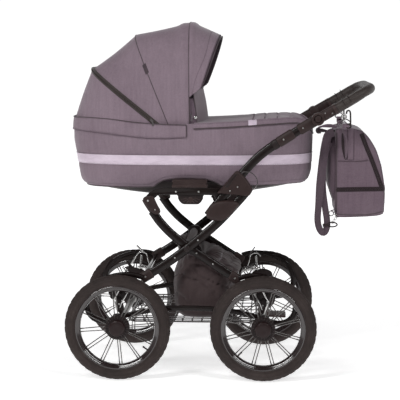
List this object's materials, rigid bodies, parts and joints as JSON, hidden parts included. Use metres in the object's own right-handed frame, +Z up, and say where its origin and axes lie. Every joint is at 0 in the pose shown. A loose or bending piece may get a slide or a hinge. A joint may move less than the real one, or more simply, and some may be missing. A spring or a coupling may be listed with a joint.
{
  "type": "pram with carrycot",
  "caption": "Retro pram: lift-off carrycot with folding hood on a sprung crossed-leg frame, four spoked wheels, tilting handle and hanging bag.",
  "frame": {"origin": "on the ground under the middle of the footprint", "axes": "+Z up, -X the travel direction (hood end), +X the push handle, -Y the pram's left side, seen in the picture"},
  "size_m": [1.0706, 0.597, 1.1951],
  "materials": {
    "tyre": "matte",
    "chrome": "polished",
    "mauve_fabric": "woven",
    "dark_fabric": "woven",
    "white_fabric": "woven",
    "grip_leather": "satin",
    "dark_plastic": "satin",
    "black_paint": "gloss"
  },
  "bodies": {
    "chassis": {"axle_frame": "black_paint", "wire_tray": "chrome", "basket": "dark_fabric", "basket_top": "dark_fabric"},
    "brake": {"brake_pedal": "dark_plastic"},
    "suspension": {"front_cross_tube": "black_paint", "rear_cross_tube": "black_paint", "spring_arm_front_left": "black_paint", "spring_arm_front_right": "black_paint", "spring_arm_rear_left": "black_paint", "spring_arm_rear_right": "black_paint", "coil_spring_front_left": "chrome", "coil_spring_front_right": "chrome", "coil_spring_rear_left": "chrome", "coil_spring_rear_right": "chrome"},
    "front_frame": {"pivot_tube": "black_paint", "front_leg_left": "black_paint", "front_leg_right": "black_paint", "fold_cover_left": "dark_plastic", "fold_cover_right": "dark_plastic", "handle_tube_left": "black_paint", "handle_tube_right": "black_paint"},
    "rear_frame": {"rear_leg_left": "black_paint", "rear_leg_right": "black_paint", "rear_leg_cap_left": "dark_plastic", "rear_leg_cap_right": "dark_plastic"},
    "seat": {"seat_frame": "black_paint"},
    "cot": {"cot_tub": "mauve_fabric", "cot_base": "dark_plastic", "mattress": "white_fabric", "apron": "mauve_fabric", "cot_adapter_left": "dark_plastic", "cot_adapter_right": "dark_plastic", "hood_rear": "mauve_fabric"},
    "hood_middle": {"hood_mid": "mauve_fabric", "bow_mid": "black_paint"},
    "hood_forward": {"hood_front": "mauve_fabric", "hood_visor": "mauve_fabric", "bow_front": "black_paint"},
    "handle": {"handle_grip": "grip_leather", "handle_arm_left": "dark_plastic", "handle_arm_right": "dark_plastic"},
    "bag": {"bag_body": "mauve_fabric", "bag_strap": "mauve_fabric", "bag_hook_left": "chrome", "bag_hook_right": "chrome"},
    "wheel_front_left": {"tyre_front_left": "tyre", "wheel_front_left": "black_paint"},
    "wheel_front_right": {"tyre_front_right": "tyre", "wheel_front_right": "black_paint"},
    "wheel_rear_left": {"tyre_rear_left": "tyre", "wheel_rear_left": "black_paint"},
    "wheel_rear_right": {"tyre_rear_right": "tyre", "wheel_rear_right": "black_paint"},
    "sleeve_left": {"lock_sleeve_left": "dark_plastic"},
    "button_left": {"tilt_button_left": "dark_plastic"},
    "latch_left": {"latch_lever_left": "dark_plastic"},
    "sleeve_right": {"lock_sleeve_right": "dark_plastic"},
    "button_right": {"tilt_button_right": "dark_plastic"},
    "latch_right": {"latch_lever_right": "dark_plastic"}
  },
  "joints": [
    {"name": "wheel_front_left_spin", "type": "hinge", "parent": "chassis", "child": "wheel_front_left", "pos_m": [-0.3563, -0.2725, 0.178], "axis": [0, 1, 0], "continuous": true},
    {"name": "wheel_front_right_spin", "type": "hinge", "parent": "chassis", "child": "wheel_front_right", "pos_m": [-0.3563, 0.2725, 0.178], "axis": [0, 1, 0], "continuous": true},
    {"name": "wheel_rear_left_spin", "type": "hinge", "parent": "chassis", "child": "wheel_rear_left", "pos_m": [0.1309, -0.2725, 0.178], "axis": [0, 1, 0], "continuous": true},
    {"name": "wheel_rear_right_spin", "type": "hinge", "parent": "chassis", "child": "wheel_rear_right", "pos_m": [0.1309, 0.2725, 0.178], "axis": [0, 1, 0], "continuous": true},
    {"name": "brake_press", "type": "hinge", "parent": "chassis", "child": "brake", "pos_m": [0.1309, 0, 0.178], "axis": [0, 1, 0], "range_deg": [0, 20]},
    {"name": "suspension_travel", "type": "slide", "parent": "chassis", "child": "suspension", "axis": [0, 0, 1], "range_m": [-0.008, 0.008], "stiffness_N_per_m": 30000, "springref_m": 0.004},
    {"name": "frame_fold", "type": "hinge", "parent": "suspension", "child": "front_frame", "pos_m": [-0.2707, 0, 0.3405], "axis": [0, 1, 0], "range_deg": [0, 24], "deforming": ["basket_top"]},
    {"name": "rear_leg_fold", "type": "hinge", "parent": "front_frame", "child": "rear_frame", "pos_m": [-0.1257, 0, 0.44], "axis": [0, -1, 0], "range_deg": [0, 48]},
    {"name": "seat_level", "type": "hinge", "parent": "rear_frame", "child": "seat", "pos_m": [-0.259, 0, 0.6], "axis": [0, 1, 0], "range_deg": [0, 24]},
    {"name": "cot_lift", "type": "slide", "parent": "seat", "child": "cot", "axis": [0, 0, 1], "range_m": [0, 0.12]},
    {"name": "latch_left_turn", "type": "hinge", "parent": "seat", "child": "latch_left", "pos_m": [-0.1147, -0.207, 0.613], "axis": [0, 1, 0], "range_deg": [0, 10], "stiffness_Nm_per_rad": 0.6, "springref_deg": -20.05},
    {"name": "latch_right_turn", "type": "hinge", "parent": "seat", "child": "latch_right", "pos_m": [-0.1147, 0.207, 0.613], "axis": [0, 1, 0], "range_deg": [0, 10], "stiffness_Nm_per_rad": 0.6, "springref_deg": -20.05},
    {"name": "hood_fold", "type": "hinge", "parent": "cot", "child": "hood_middle", "pos_m": [-0.1637, 0, 0.835], "axis": [0, -1, 0], "range_deg": [0, 29]},
    {"name": "hood_front_fold", "type": "hinge", "parent": "hood_middle", "child": "hood_forward", "pos_m": [-0.1637, 0, 0.835], "axis": [0, -1, 0], "range_deg": [0, 29]},
    {"name": "sleeve_left_lift", "type": "slide", "parent": "front_frame", "child": "sleeve_left", "axis": [0.6374, 0, 0.7705], "range_m": [0, 0.01], "stiffness_N_per_m": 2000, "springref_m": -0.006},
    {"name": "sleeve_right_lift", "type": "slide", "parent": "front_frame", "child": "sleeve_right", "axis": [0.6374, 0, 0.7705], "range_m": [0, 0.01], "stiffness_N_per_m": 2000, "springref_m": -0.006},
    {"name": "handle_tilt", "type": "hinge", "parent": "front_frame", "child": "handle", "pos_m": [0.3065, 0, 0.8741], "axis": [0, 1, 0], "range_deg": [-10, 40]},
    {"name": "button_left_press", "type": "slide", "parent": "handle", "child": "button_left", "axis": [0, 1, 0], "range_m": [0, 0.003], "stiffness_N_per_m": 800, "springref_m": -0.003},
    {"name": "button_right_press", "type": "slide", "parent": "handle", "child": "button_right", "axis": [0, -1, 0], "range_m": [0, 0.003], "stiffness_N_per_m": 800, "springref_m": -0.003},
    {"name": "bag_swing", "type": "hinge", "parent": "handle", "child": "bag", "pos_m": [0.3993, 0, 0.905], "axis": [0, 1, 0], "range_deg": [-40, 10]}
  ],
  "couplings": [
    {"joint": "rear_leg_fold", "follows": "frame_fold", "ratio": 2},
    {"joint": "seat_level", "follows": "frame_fold", "ratio": 1},
    {"joint": "hood_front_fold", "follows": "hood_fold", "ratio": 1},
    {"joint": "bag_swing", "follows": "handle_tilt", "ratio": -1}
  ]
}
